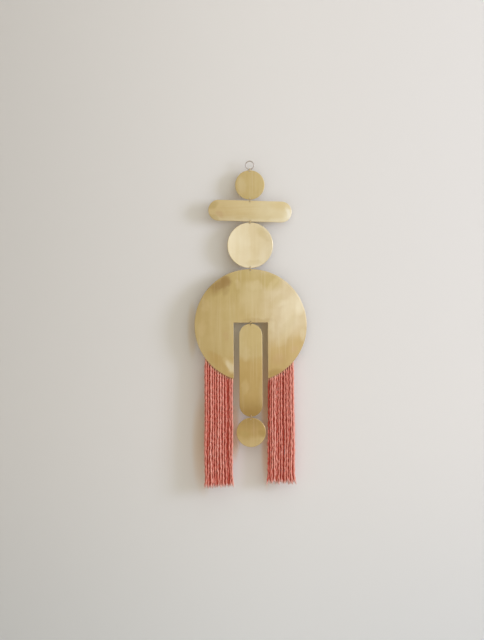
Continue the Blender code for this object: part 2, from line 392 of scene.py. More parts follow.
def wash(towards, start, end, tint, strength):
    """A tint that comes in slowly across a plate: nothing before start and all its strength after
    end, both in millimetres from the plate's centre, in a direction in degrees up from rightward."""
    angle = math.radians(towards)
    return {
        "across": (math.cos(angle), 0.0, math.sin(angle)),
        "start": start * MM,
        "end": end * MM,
        "tint": tint,
        "strength": strength,
    }


def spot(x, z, half_long, half_short, turned, tint, strength):
    """A soft oval of a tint. Its place from the plate's centre and its half sizes are in
    millimetres, and it is turned by some degrees up from rightward."""
    return {
        "place": (x * MM, 0.0, z * MM),
        "half": (half_long * MM, 1.0, half_short * MM),
        "turned": math.radians(turned),
        "tint": tint,
        "strength": strength,
    }


def spot_cover(finish, place, mark):
    """1 in the middle of a spot and 0 past its edge: a smooth step down with the squared distance
    to its middle, turned and measured in half sizes."""
    moved = finish.vector("SUBTRACT", place, mark["place"])
    turned = finish.turn(moved, mark["turned"])
    across, _, along = finish.parts(finish.vector("DIVIDE", turned, mark["half"]))
    return finish.ease(across * across + along * along, 1.0, SPOT_FULL)


def brass_finish(name, plate):
    """Brushed brass with washes and spots of tint that are partly tarnish and partly painted
    reflections, highlights and shade. The streaks run at the brushed angle from upright. The
    normal is tilted as if the sheet leaned and bowed: to the right and up by the lean's degrees
    in the middle, and by the bow's degrees more a half size further right or up. What the brass
    reflects changes with that."""
    finish = Finish(name)
    place = finish.place()
    _, depth, _ = finish.parts(place)
    rim = finish.attribute("rim")
    from_centre = finish.vector("SUBTRACT", place, (0.0, 0.0, plate["centre"]))
    lain = finish.turn(from_centre, math.radians(plate["brushed"]))
    fine = finish.streaks(lain, *FINE_STREAKS)
    streak = finish.streaks(lain, *STREAKS)
    band = finish.streaks(lain, *BANDS)
    cloud = finish.noise(from_centre, *CLOUDS)
    wander = finish.noise(place, *WANDER_NOISE, output="Color")
    moved = finish.vector("MULTIPLY", finish.vector("SUBTRACT", wander, (0.5, 0.5, 0.5)), WANDER)
    patch_place = finish.vector("ADD", from_centre, moved)

    shade = plate["tint"]
    # The washes and spots are partly tarnish and partly painted reflections, highlights and shade
    for mark in plate["washes"]:
        far = finish.vector("DOT_PRODUCT", patch_place, mark["across"], output="Value")
        shade = finish.lay(shade, mark["tint"], far, mark["start"], mark["end"], mark["strength"])
    for mark in plate["spots"]:
        cover = spot_cover(finish, patch_place, mark) * mark["strength"]
        shade = finish.mix(cover, shade, mark["tint"])
    for mask, start, end, strength, tint, blend in (
        (cloud, 0.35, 0.70, 0.5, MOTTLE, "MULTIPLY"),
        (band, 0.60, 0.35, 0.4, MOTTLE, "MULTIPLY"),
        (streak, 0.50, 0.80, 0.18, BRASS_CREAM, "MIX"),
        (depth, -0.1 * SHEET, 0.4 * SHEET, 0.9, BRASS_BACK, "MIX"),
    ):
        shade = finish.lay(shade, tint, mask, start, end, strength, blend)
    # Paler on the rounded edge: a painted edge highlight
    shade = finish.mix(rim * RIM_PAINTED_HIGHLIGHT, shade, BRASS_PALE)

    x, _, z = finish.parts(from_centre)
    half_x, half_z = plate["half"]
    lean_x, lean_z = (math.tan(math.radians(degrees)) for degrees in plate["lean"])
    bow_x, bow_z = (math.tan(math.radians(degrees)) for degrees in plate["bow"])
    fall = x * lean_x + x * x * (bow_x / half_x / 2)
    fall = fall + z * lean_z + z * z * (bow_z / half_z / 2)
    sheet = finish.bump(cloud * CLOUD_DEPTH + band * BAND_DEPTH - fall, 1.0)
    rough = BRASS_ROUGH + streak * STREAK_ROUGHER + cloud * CLOUD_ROUGHER + rim * plate["rim"]
    surface = finish.node(
        "ShaderNodeBsdfPrincipled",
        {},
        {
            "Base Color": shade,
            "Metallic": 1.0,
            "Roughness": rough,
            "Anisotropic": 0.5,
            "Anisotropic Rotation": plate["brushed"] / 360.0,
            "Normal": finish.bump(fine, FINE_DEPTH, sheet),
        },
    )
    return finish.output(surface)


BRASS_WIRE = colour(0.72, 0.55, 0.26)
STEEL_WIRE = colour(0.62, 0.57, 0.52)
WIRE_SCRATCHES = (3500.0, 2.0)  # scale and detail
WIRE_CLOUDS = (260.0, 2.0)
WIRE_DARKER = 0.72
WIRE_ROUGHER = 0.1
SCRATCH_DEPTH = 0.003 * MM


def wire_finish(name, tint, roughness):
    """Drawn wire: fine scratches all over, and a little colour wander."""
    finish = Finish(name)
    place = finish.place()
    scratch = finish.noise(place, *WIRE_SCRATCHES)
    cloud = finish.noise(place, *WIRE_CLOUDS)
    darker = colour(*(WIRE_DARKER * value for value in tint[:3]))
    surface = finish.node(
        "ShaderNodeBsdfPrincipled",
        {},
        {
            "Base Color": finish.lay(tint, darker, cloud, start=0.4, end=0.75),
            "Metallic": 1.0,
            "Roughness": roughness + cloud * WIRE_ROUGHER,
            "Normal": finish.bump(scratch, SCRATCH_DEPTH),
        },
    )
    return finish.output(surface)


CORAL = colour(0.925, 0.39, 0.305)
CORAL_DEEP = colour(0.80, 0.265, 0.195)
CORAL_PALE = colour(0.96, 0.64, 0.55)
CORAL_PAINTED_SHADE = colour(0.72, 0.30, 0.24)
CORAL_PAINTED_GLOW = colour(0.98, 0.66, 0.42)
FRAYED = colour(0.98, 0.86, 0.78)
YARN_FIBRES = (9.0, 300.0, 1.0)  # streaks round a ply, and how often they change in a metre
FIBRE_DETAIL = 3.0
DYE_CLOUDS = (160.0, 0.25, 2.0)  # scale, share of it along the yarn, and detail
DYE_PER_YARN = 0.6  # share of the dye's range that goes from yarn to yarn
FIBRE_DEPTH = 0.06 * MM


def yarn_finish():
    """Dyed, softly twisted yarn: fibres as fine streaks along each ply, dye that varies from yarn
    to yarn and along it, painted shade where the front and back layers face each other, paler
    frayed ends, and a painted glow of brass-coloured light just below the plate."""
    finish = Finish("coral_yarn")
    run = finish.node("ShaderNodeUVMap", {"uv_map": "along_ply"})
    fibre = finish.noise(finish.vector("MULTIPLY", run, YARN_FIBRES), 1.0, FIBRE_DETAIL)
    cloud = finish.streaks(finish.place(), *DYE_CLOUDS)
    dye = finish.attribute("tone") * DYE_PER_YARN + cloud * (1 - DYE_PER_YARN)
    shade = finish.lay(CORAL_DEEP, CORAL, dye, start=0.25, end=0.8)
    shade = finish.lay(shade, CORAL_PALE, fibre, start=0.45, end=0.8, strength=0.5)
    # Painted shade where the front and back layers of the fringe face each other
    shade = finish.mix(finish.attribute("between"), shade, CORAL_PAINTED_SHADE, "MULTIPLY")
    shade = finish.mix(finish.attribute("tip"), shade, FRAYED)
    # Painted glow of brass-coloured light on the yarn just below the plate
    shade = finish.mix(finish.attribute("painted_brass_glow"), shade, CORAL_PAINTED_GLOW)
    surface = finish.node(
        "ShaderNodeBsdfPrincipled",
        {},
        {
            "Base Color": shade,
            "Roughness": 0.9,
            "Sheen Weight": 0.2,
            "Sheen Roughness": 0.5,
            "Sheen Tint": CORAL_PALE,
            "Normal": finish.bump(fibre, FIBRE_DEPTH),
        },
    )
    return finish.output(surface)


# Meshes

MERGE_WITHIN = 1e-7  # points closer than that become one
NO_LENGTH = 1e-8  # an edge shorter than that is dropped


def grid_quads(rows, columns, close_rows=False, close_columns=False):
    """Corner numbers of the quads of a grid, with the row and column of each corner before the
    grid is closed on itself."""
    row, column = np.meshgrid(
        np.arange(rows if close_rows else rows - 1),
        np.arange(columns if close_columns else columns - 1),
        indexing="ij",
    )
    corner_rows = np.stack([row, row, row + 1, row + 1], axis=-1).reshape(-1, 4)
    corner_columns = np.stack([column, column + 1, column + 1, column], axis=-1).reshape(-1, 4)
    quads = (corner_rows % rows) * columns + corner_columns % columns
    return quads, corner_rows, corner_columns


def unit(vectors):
    """Vectors drawn out or in to a length of one."""
    return vectors / np.linalg.norm(vectors, axis=-1, keepdims=True)


def mesh_piece(name, points, quads, corner_uv, uv_name, marks, sharp_above=None):
    """A mesh object from points, quads, a UV place for each corner and named values at points.
    Doubled points at poles and seams are merged, and faces are turned outwards."""
    data = bpy.data.meshes.new(name)
    data.from_pydata(points.reshape(-1, 3).tolist(), [], quads.tolist())
    data.uv_layers.new(name=uv_name).data.foreach_set("uv", corner_uv.astype(np.float32).ravel())
    for mark, values in marks.items():
        attribute = data.attributes.new(mark, "FLOAT", "POINT")
        attribute.data.foreach_set("value", values.astype(np.float32).ravel())
    mesh = bmesh.new()
    mesh.from_mesh(data)
    bmesh.ops.remove_doubles(mesh, verts=mesh.verts, dist=MERGE_WITHIN)
    bmesh.ops.dissolve_degenerate(mesh, edges=mesh.edges, dist=NO_LENGTH)
    bmesh.ops.recalc_face_normals(mesh, faces=mesh.faces)
    mesh.to_mesh(data)
    mesh.free()
    data.shade_smooth()
    if sharp_above is not None:
        data.set_sharp_from_angle(angle=math.radians(sharp_above))
    piece = bpy.data.objects.new(name, data)
    bpy.context.scene.collection.objects.link(piece)
    return piece


def fit(piece, finish, slot, *nodes):
    """Gives a piece its finish and its place on the frame's root body, and hides the nodes that it
    replaces. The slot is not used.
    """
    piece.data.materials.append(finish)
    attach(piece, "root")
    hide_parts(*nodes)


# Brass plates

def disc_outline(centre_z, radius, count):
    """A circle, and its centre as its core."""
    turn = np.arange(count) * 2 * math.pi / count
    outline = np.stack([radius * np.cos(turn), centre_z + radius * np.sin(turn)], axis=-1)
    core = np.broadcast_to([0.0, centre_z], outline.shape)
    return outline, core


def stadium_outline(centre_z, length, width, turned):
    """Two half circles joined by straight sides, turned by some degrees. The core is the line
    between the centres of the half circles."""
    reach = (length - width) / 2
    half_turn = np.linspace(-math.pi / 2, math.pi / 2, BAR_ARC_SIDES, endpoint=False)
    side = np.linspace(reach, -reach, BAR_STRAIGHT_SIDES, endpoint=False)
    side_z = np.full(side.shape, width / 2)
    right_x = reach + width / 2 * np.cos(half_turn)
    right_z = width / 2 * np.sin(half_turn)
    x = np.concatenate([right_x, side, -right_x, -side])
    z = np.concatenate([right_z, side_z, -right_z, -side_z])
    core_x = np.clip(x, -reach, reach)
    angle = math.radians(turned)
    cos, sin = math.cos(angle), math.sin(angle)
    outline = np.stack([x * cos - z * sin, centre_z + x * sin + z * cos], axis=-1)
    core = np.stack([core_x * cos, centre_z + core_x * sin], axis=-1)
    return outline, core


def slotted_outline(centre_z, radius, half_slot, top_z):
    """A circle with an upright square slot open at the bottom: clockwise round the circle from
    the slot's left side to its right side, then back round the slot. Each point of the circle is
    paired with one of the slot, and the core lies half way between the two."""
    open_angle = math.asin(half_slot / radius)
    foot_z = centre_z - radius * math.cos(open_angle)
    stops = [0, SLOT_CORNER_SHARE, 1 - SLOT_CORNER_SHARE, 1]
    share = np.concatenate(
        [
            np.linspace(stops[0], stops[1], SLOT_SIDE_POINTS, endpoint=False),
            np.linspace(stops[1], stops[2], SLOT_TOP_POINTS, endpoint=False),
            np.linspace(stops[2], stops[3], SLOT_SIDE_POINTS + 1),
        ]
    )
    angle = -math.pi / 2 - open_angle - (2 * math.pi - 2 * open_angle) * share
    outer = np.stack([radius * np.cos(angle), centre_z + radius * np.sin(angle)], axis=-1)
    inner_x = np.interp(share, stops, [-half_slot, -half_slot, half_slot, half_slot])
    inner_z = np.interp(share, stops, [foot_z, top_z, top_z, foot_z])
    inner = np.stack([inner_x, inner_z], axis=-1)
    core = (outer + inner) / 2
    outline = np.concatenate([outer, inner[-2:0:-1]])
    return outline, np.concatenate([core, core[-2:0:-1]])


def inward_mitre(outline):
    """For each corner of a closed outline, the move that pulls both its sides in by one unit: the
    sum of their inward normals over one plus their dot product."""
    side = unit(np.roll(outline, -1, axis=0) - outline)
    normal = np.stack([-side[:, 1], side[:, 0]], axis=-1)
    before = np.roll(normal, 1, axis=0)
    mitre = (normal + before) / (1 + np.sum(normal * before, axis=-1, keepdims=True))
    x, z = outline[:, 0], outline[:, 1]
    area = np.sum(x * np.roll(z, -1) - np.roll(x, -1) * z)
    return mitre * np.sign(area)


def sheet_section():
    """The section of a sheet from its core out along the front, round the rounded edge and back
    along the back: the share of the way to the edge, how far the edge is pulled in, the depth, and
    1 on the rounded edge."""
    out = np.linspace(0, 1, FACE_ROWS) ** ROWS_CLOSER
    quarter = np.linspace(0, math.pi / 2, EDGE_ROWS)
    front_y = -SHEET / 2 + EDGE_ROUND * (1 - np.cos(quarter))
    inset = EDGE_ROUND * (1 - np.sin(quarter))
    face = np.ones(FACE_ROWS - 1)
    edge = np.ones(2 * EDGE_ROWS)
    share = np.concatenate([out[:-1], edge, out[-2::-1]])
    pulled = np.concatenate([EDGE_ROUND * face, inset, inset[::-1], EDGE_ROUND * face])
    depth = np.concatenate([-SHEET / 2 * face, front_y, -front_y[::-1], SHEET / 2 * face])
    rim = np.concatenate([0 * face, edge, 0 * face])
    return share, pulled, depth, rim


def drill(piece, heights):
    """Cuts a round hole through the sheet at each height on its upright middle line. The drill is
    a cylinder: four rings of points, of which the first and the last have no width."""
    turn = np.arange(HOLE_SIDES) * 2 * math.pi / HOLE_SIDES
    depth = np.repeat([-DRILL_REACH, DRILL_REACH], 2 * HOLE_SIDES).reshape(-1, HOLE_SIDES)
    radius = np.array([0.0, HOLE / 2, HOLE / 2, 0.0])[:, None]
    x = radius * np.cos(turn)
    z = radius * np.sin(turn)
    points = np.array([np.stack([x, depth, height + z], axis=-1) for height in heights])
    one, _, _ = grid_quads(*x.shape, close_columns=True)
    quads = np.concatenate([one + x.size * number for number in range(len(heights))])
    no_uv = np.zeros((len(quads), 4, 2))
    cutter = mesh_piece("drill", points, quads, no_uv, "flat", {}, SHARP_HOLE)
    cut = piece.modifiers.new("holes", "BOOLEAN")
    cut.object = cutter
    cut.solver = "EXACT"
    shown = piece.evaluated_get(bpy.context.evaluated_depsgraph_get())
    drilled = bpy.data.meshes.new_from_object(shown)
    piece.modifiers.clear()
    piece.data = drilled
    drilled.set_sharp_from_angle(angle=math.radians(SHARP_HOLE))
    bpy.data.objects.remove(cutter, do_unlink=True)


def brass_plate(name, outline, core, heights, dish):
    """A sheet whose edge follows the outline. A point lies on the line from its core point to its
    outline point, at the section's share of the way, and the whole sheet is dished in depth by a
    function of its place."""
    share, pulled, depth, rim = sheet_section()
    edge = outline[None] + inward_mitre(outline)[None] * pulled[:, None, None]
    flat = core[None] + share[:, None, None] * (edge - core[None])
    x, z = flat[..., 0], flat[..., 1]
    points = np.stack([x, depth[:, None] + dish(x, z), z], axis=-1)
    rows, columns = x.shape
    quads, corner_rows, corner_columns = grid_quads(rows, columns, close_columns=True)
    uv = np.stack([x, z], axis=-1)[corner_rows, corner_columns % columns]
    marks = {"rim": np.broadcast_to(rim[:, None], (rows, columns))}
    piece = mesh_piece(name, points, quads, uv, "sheet", marks, SHARP_EDGE)
    drill(piece, heights)
    return piece


# Wire rings

def wire_ring(node, wire, edge_on, cut_degrees, sides, wire_sides):
    """A round wire carried round a circle as high as the node allows, a torus. Edge on it lies in
    the YZ plane. With a cut, the wire of such a ring stops short of a full circle at its back and
    its ends are closed flat."""
    low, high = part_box(node)
    centre_z = (low.z + high.z) / 2
    mean_radius = (high.z - low.z - wire) / 2
    gap = math.radians(cut_degrees)
    around = np.linspace(gap / 2, 2 * math.pi - gap / 2, sides, endpoint=gap > 0)
    across = np.arange(wire_sides) * 2 * math.pi / wire_sides
    size = np.ones(sides)
    if gap > 0:
        around = np.concatenate([around[:1], around, around[-1:]])
        size = np.concatenate([[0.0], size, [0.0]])
    reach = mean_radius + (wire / 2 * size)[:, None] * np.cos(across)
    flat = reach * np.cos(around)[:, None]
    rise = reach * np.sin(around)[:, None]
    out = (wire / 2 * size)[:, None] * np.sin(across)
    if edge_on:
        points = np.stack([out, flat, centre_z + rise], axis=-1)
    else:
        points = np.stack([flat, -out, centre_z + rise], axis=-1)
    rows, columns = out.shape
    quads, corner_rows, corner_columns = grid_quads(rows, columns, gap == 0, True)
    uv = np.stack([corner_columns / columns, corner_rows / rows], axis=-1)
    return mesh_piece(node + "_wire", points, quads, uv, "wire", {}, SHARP_WIRE)


# Yarn

NEXT_TO_NOTHING = 1e-9  # so that a path which ends where it starts has some mean direction
ALONG_X = 0.8  # the X of a path's mean direction from which it counts as running along X


def tubes(paths, radii, sides):
    """Round tubes. A ring of points stands square to each path at each of its places, at that
    place's radius, and starts from the side nearest to the X axis, or to the Y axis where the path
    as a whole runs along X. Paths are numbered first, places second. Returns the points, the quads,
    and the place and side number of each corner."""
    along = unit(np.gradient(paths, axis=1))
    mean = np.abs(unit(along.mean(axis=1) + NEXT_TO_NOTHING))
    guide = np.where(mean[:, None, None, 0] < ALONG_X, [1.0, 0.0, 0.0], [0.0, 1.0, 0.0])[:, 0]
    guide = np.broadcast_to(guide[:, None], paths.shape)
    across = unit(guide - along * np.sum(guide * along, axis=-1, keepdims=True))
    over = np.cross(along, across)
    turn = np.arange(sides) * 2 * math.pi / sides
    ring = across[:, :, None] * np.cos(turn)[:, None] + over[:, :, None] * np.sin(turn)[:, None]
    points = paths[:, :, None] + radii[:, :, None, None] * ring
    count, places = radii.shape
    one, corner_rows, corner_columns = grid_quads(places, sides, close_columns=True)
    start = (np.arange(count) * places * sides)[:, None, None]
    quads = (one[None] + start).reshape(-1, 4)
    return points, quads, corner_rows, corner_columns


def edge_height(x):
    """Height of the lower edge of the large disc at some distance from the middle."""
    return large_z - math.sqrt(large_radius**2 - x**2)


def yarn_x(fringe, index):
    """How far to the right of the middle a yarn hangs from the plate."""
    inner = slot_half + fringe["inset"]
    return fringe["outward"] * (inner + YARN / 2 + index * (YARN + fringe["space"]))


def yarn_leg(fringe, leg, random):
    """One leg of a yarn, from its cut end up to the fold. It follows the frame's leg, settles aside
    and back just below the fold, and strays from there sideways and in depth by sine waves that grow
    towards the cut end. Near that end it kicks out by the square of the distance, most at the
    fringe's sides."""
    outward = fringe["outward"]
    off_middle = leg["off_middle"]
    fold_z = leg["fold_z"]
    plate_z = large_z - large_radius
    end_z = plate_z - fringe["length"] - fringe["slant"] * outward * off_middle
    cut_z = end_z + leg["shorter"] * fringe["stagger"] - CUT_LOWER
    z = np.linspace(cut_z, fold_z, int((fold_z - cut_z) / STEP))
    settled = np.minimum(1, (fold_z - z) / YARN_SETTLE)
    drop = np.maximum(0, (plate_z - z) / fringe["length"])
    spread = fringe["spread"] / 2 * off_middle + fringe["drift"]
    wave = WAVE * np.sin(2 * math.pi * z / WAVE_LENGTH + outward)
    kick = fringe["flare"] * off_middle**3 * np.clip(1 - (z - cut_z) / FLARE_LENGTH, 0, 1) ** 2
    leg_x = leg["x"] + leg["aside"] * settled + drop * (spread + wave) + kick
    leg_y = leg["y"] + (leg["recess"] * (1 - RECESS_FADE * drop) + leg["sunk"]) * settled
    for length, reach, at_plate in STRAYS:
        grown = at_plate + (1 - at_plate) * np.minimum(1, 2 * drop)
        grown = leg["stray"] * reach * settled * grown
        phase = random.uniform(0, 2 * math.pi, 2)
        turns = z / length / random.uniform(*STRAY_STRETCH, 2)[:, None]
        leg_x = leg_x + grown * np.sin(2 * math.pi * turns[0] + phase[0])
        leg_y = leg_y + grown * np.sin(2 * math.pi * turns[1] + phase[1])
    return np.stack([leg_x, leg_y, z], axis=-1)


def yarn_line(fringe, index, random):
    """The middle line of one doubled yarn, from the front leg's cut end up, over the fold, which is
    half a circle from front to back, and down to the back leg's, and how much each point belongs to
    the back leg. A front leg stands aside and sunk as the fringe says, a back leg midway between
    two front legs."""
    outward = fringe["outward"]
    pitch = YARN + fringe["space"]
    x = yarn_x(fringe, index)
    half = (YARNS_PER_SIDE * pitch - fringe["space"]) / 2
    off_middle = (x - outward * (slot_half + fringe["inset"] + half)) / half
    stagger = (index * STAGGER_STEP) % 1
    fold_z = edge_height(x) + YARN_TUCK
    front_aside, next_aside = (value * MM for value in fringe["aside"][index : index + 2])
    front_y = SHEET / 2 + TOUCH_GAP + YARN / 2
    both = {
        "x": x,
        "off_middle": off_middle,
        "fold_z": fold_z,
        "recess": fringe["recess"] if index == 0 else 0.0,
    }
    front_leg = {
        **both,
        "y": front_y,
        "shorter": stagger,
        "aside": front_aside,
        "sunk": fringe["sunk"][index] * MM,
        "stray": 1.0,
    }
    back_leg = {
        **both,
        "y": front_y + YARN + TOUCH_GAP,
        "shorter": 1 - stagger,
        "aside": (outward * pitch + front_aside + next_aside) / 2,
        "sunk": BACK_SUNK,
        "stray": BACK_STRAY,
    }
    front = yarn_leg(fringe, front_leg, random)
    back = yarn_leg(fringe, back_leg, random)
    reach = (back_leg["y"] - front_y) / 2
    bend = np.linspace(0, math.pi, FOLD_POINTS)[1:-1]
    fold_y = (front_y + back_leg["y"]) / 2 - reach * np.cos(bend)
    fold = np.stack([np.full(bend.shape, x), fold_y, fold_z + reach * np.sin(bend)], axis=-1)
    line = np.concatenate([front, fold, back[::-1]])
    over_fold = np.linspace(0, 1, len(fold) + 2)[1:-1]
    backness = np.concatenate([np.zeros(len(front)), over_fold, np.ones(len(back))])
    return line, backness


def along_path(line):
    """Distance along a line at each of its points."""
    steps = np.linalg.norm(np.diff(line, axis=0), axis=-1)
    return np.concatenate([[0.0], np.cumsum(steps)])


def ply_lines(line, hidden, random):
    """The plies' middle lines and radii, how frayed they are, and the distance along the yarn. Each
    ply circles the yarn's middle line once per twist, running ahead and lagging by a sine of the
    distance. Where the yarn is hidden behind others its plies are thicker. At the cut ends the plies
    open out and thin to a point."""
    run = along_path(line)
    along = unit(np.gradient(line, axis=0))
    across = unit(np.array([1.0, 0.0, 0.0]) - along * along[:, :1])
    over = np.cross(along, across)
    to_end = np.minimum(run, run[-1] - run)
    frayed = np.clip(1 - to_end / FRAY, 0, 1) ** FRAY_LATE
    orbit = PLY_ORBIT * (1 + (BACK_ORBIT - 1) * hidden) * (1 + FRAY_OPEN * frayed)
    radius = PLY_RADIUS * (1 + (BACK_PLY - 1) * hidden) * (1 - FRAY_THIN * frayed)
    start_turn, uneven_turn, uneven_ply = random.uniform(0, 2 * math.pi, 3)
    uneven = 2 * math.pi * run / UNEVEN_LENGTH
    lag = UNEVEN_TWIST * np.sin(uneven + uneven_turn)
    paths = []
    radii = []
    for number in range(PLIES):
        turn = 2 * math.pi * (run / TWIST + number / PLIES) + start_turn + lag
        aside = across * np.cos(turn)[:, None] + over * np.sin(turn)[:, None]
        paths.append(line + orbit[:, None] * aside)
        wave = UNEVEN_QUICKER * uneven + uneven_ply + number * UNEVEN_APART
        radii.append(radius * (1 + UNEVEN_PLY * np.sin(wave)))
    closed = np.sqrt(np.clip(to_end / PLY_END, 0, 1))
    return np.array(paths), np.array(radii) * closed, frayed, run


def per_fibre(random, least, most, count):
    """One random number for each fibre, shaped to be multiplied with points along it."""
    return random.uniform(least, most, count)[:, None, None]


def fuzz_lines(line, picked, random):
    """Short fibres that leave a ply's surface at its picked points: each starts on the surface,
    follows the ply for a while, lifts off by the square of the distance and slides to a side."""
    count = len(picked)
    along = unit(np.gradient(line, axis=0))[picked]
    along = along * random.choice([-1.0, 1.0], count)[:, None]
    across = unit(np.array([1.0, 0.0, 0.0]) - along * along[:, :1])
    over = np.cross(along, across)
    turn = random.uniform(0, 2 * math.pi, count)[:, None]
    outward = across * np.cos(turn) + over * np.sin(turn)
    sideways = np.cross(along, outward)
    length = per_fibre(random, *FUZZ_LENGTH, count) * MM
    lift = per_fibre(random, *FUZZ_LIFT, count)
    slide = per_fibre(random, *FUZZ_SLIDE, count)
    t = np.linspace(0, 1, FUZZ_POINTS)[None, :, None]
    start = (line[picked] + outward * FUZZ_ROOT * PLY_RADIUS)[:, None]
    return start + length * (
        t * along[:, None] + t * t * lift * outward[:, None] + t * slide * sideways[:, None]
    )


def end_fibres(line, random):
    """Fibres of the two cut ends: each starts inside the yarn, runs down past its end and splays
    out from the middle by the square of the distance."""
    paths = []
    for end, inside in ((line[0], line[END_BACK]), (line[-1], line[-1 - END_BACK])):
        down = unit(end - inside)
        turn = random.uniform(0, 2 * math.pi, END_FIBRES)
        far = np.sqrt(random.uniform(0, 1, END_FIBRES))
        level = np.zeros(END_FIBRES)
        splay = np.stack([np.cos(turn), np.sin(turn), level], axis=-1) * far[:, None]
        length = per_fibre(random, *END_LENGTH, END_FIBRES) * MM
        t = np.linspace(0, 1, END_POINTS)[None, :, None]
        start = (end - down * END_INSIDE + splay * END_SPREAD)[:, None]
        open_out = splay[:, None] * per_fibre(random, *END_OPEN, END_FIBRES)
        paths.append(start + length * (t * down + t * t * open_out))
    return np.concatenate(paths)


def fibre_radii(paths, thickness):
    """Thin all along, and thinnest at the free end. Both ends are closed to a point."""
    taper = np.linspace(1.0, FIBRE_THIN_END, paths.shape[1])
    taper[0] = 0.0
    taper[-1] = 0.0
    return np.broadcast_to(thickness * taper, paths.shape[:2])


def smooth(value, start, end):
    """0 before start, 1 after end, and a smooth step between. Start may be the larger one."""
    share = np.clip((value - start) / (end - start), 0, 1)
    return share * share * (3 - 2 * share)


def shut_in(depth, middle, backness, hidden):
    """How much painted shade a place at some depth gets, where the front and back layers keep light
    from each other. It grows from the fronts of the front legs to the backs, and in a back leg
    from the back to the front. The outermost yarn's back leg isn't hidden."""
    in_front_leg = smooth(depth, *FRONT_DIM)
    in_back_leg = smooth(depth - middle, *BACK_DIM)
    return (1 - backness) * in_front_leg + hidden * in_back_leg


def strands(paths, radii, sides, distance, pale, middle, backness, hidden):
    """Tubes along some paths, with what the yarn's finish reads: a UV place that goes round a tube
    and along it by distance, how pale it is at each of its places, and how shut in."""
    points, quads, corner_rows, corner_columns = tubes(paths, radii, sides)
    uv = np.stack([corner_columns / sides, distance[corner_rows]], axis=-1)
    return {
        "points": points.reshape(-1, 3),
        "quads": quads,
        "uv": np.tile(uv[None], (len(paths), 1, 1, 1)).reshape(-1, 4, 2),
        "tip": np.broadcast_to(pale[None, :, None], points.shape[:3]).ravel(),
        "between": shut_in(points[..., 1], middle, backness, hidden).ravel(),
    }


def yarn_piece(name, fringe, index, random):
    """One doubled yarn: its plies, their fuzz and the fibres of its cut ends, each a round tube.
    Below the plate's edge all of it comes forward, and its front gets a painted glow of
    brass-coloured light there."""
    line, backness = yarn_line(fringe, index, random)
    outermost = index == YARNS_PER_SIDE - 1
    hidden = np.zeros(len(line)) if outermost else backness
    paths, radii, frayed, run = ply_lines(line, hidden, random)
    tone = random.uniform(0, 1)
    picked = random.integers(FUZZ_FREE, len(line) - FUZZ_FREE, (PLIES, FUZZ_PER_PLY))
    fuzz = np.concatenate([fuzz_lines(ply, row, random) for ply, row in zip(paths, picked)])
    ends = end_fibres(line, random)
    of_line = (line[:, 1], backness, hidden)
    plies_of_line = (values[:, None] for values in of_line)
    parts = [strands(paths, radii, PLY_SIDES, run, PLY_PALE * frayed, *plies_of_line)]
    for fibres, thickness, roots, pale in (
        (fuzz, FUZZ_RADIUS, picked.ravel(), FUZZ_PALE),
        (ends, END_RADIUS, np.repeat([0, len(line) - 1], END_FIBRES), END_PALE),
    ):
        radii = fibre_radii(fibres, thickness)
        places = np.arange(fibres.shape[1])
        paler = np.linspace(0, pale, len(places))
        at_roots = (values[roots][:, None, None] for values in of_line)
        parts.append(strands(fibres, radii, FIBRE_SIDES, places * MM, paler, *at_roots))
    starts = np.cumsum([0] + [len(part["points"]) for part in parts])
    quads = np.concatenate([part["quads"] + start for part, start in zip(parts, starts)])
    points, uv, tips, dim = (
        np.concatenate([part[key] for part in parts]) for key in ("points", "uv", "tip", "between")
    )
    # A painted glow of brass-coloured light on the front of the yarn just below the plate's edge
    below = edge_height(yarn_x(fringe, index)) - points[:, 2]
    near_edge = smooth(below, GLOW_LENGTH, 0.0) * smooth(below, *GLOW_START)
    near_edge = near_edge * smooth(points[:, 1], *GLOW_DEPTH)
    points[:, 1] -= PUFF * smooth(below, PUFF_FROM, PUFF_TO)
    marks = {
        "tone": np.full(len(points), tone),
        "tip": tips,
        "painted_brass_glow": fringe["painted_brass_glow"] * near_edge,
        "between": dim,
    }
    return mesh_piece(name, points, quads, uv, "along_ply", marks)


# Places from the frame

def middle_of(node):
    """The middle of a node's box."""
    low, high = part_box(node)
    return (low + high) / 2


def half_width_of(node):
    """Half the width of a node's box, from left to right."""
    low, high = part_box(node)
    return (high.x - low.x) / 2


top_z = middle_of("top_disc").z
bar_z = middle_of("cross_bar").z
middle_z = middle_of("middle_disc").z
pendant_low, pendant_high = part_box("pendant_bar")
pendant_z = (pendant_low.z + pendant_high.z) / 2
pendant_half = pendant_high.z - pendant_z
pendant_half_width = half_width_of("pendant_bar")
bottom_z = middle_of("bottom_disc").z
large_radius = half_width_of("large_disc")
large_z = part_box("large_disc")[1].z - large_radius
slot_half = pendant_half_width + PENDANT_SIDE_GAP
slot_top = pendant_high.z + PLATE_GAP
bar_half = BAR_HEIGHT / 2 / math.cos(math.radians(BAR_TILT))


# The plates, from the top down

top_radius = half_width_of("top_disc")
middle_radius = half_width_of("middle_disc")
bottom_radius = half_width_of("bottom_disc")


def dish_of(centre_z, half, depth):
    """Depth of a shallow dish: full in the middle, nothing at a distance of half."""
    return lambda x, z: depth * (1 - (x**2 + (z - centre_z) ** 2) / half**2)


def disc(centre_z, radius, sides, dish):
    """What every whole disc's entry says, with a hole at its top and one at its bottom."""
    return {
        "shape": disc_outline(centre_z, radius, sides),
        "centre": centre_z,
        "half": (radius, radius),
        "holes": (centre_z + radius - HOLE_INSET, centre_z - radius + HOLE_INSET),
        "dish": dish_of(centre_z, radius, dish),
        "brushed": 0.0,
    }
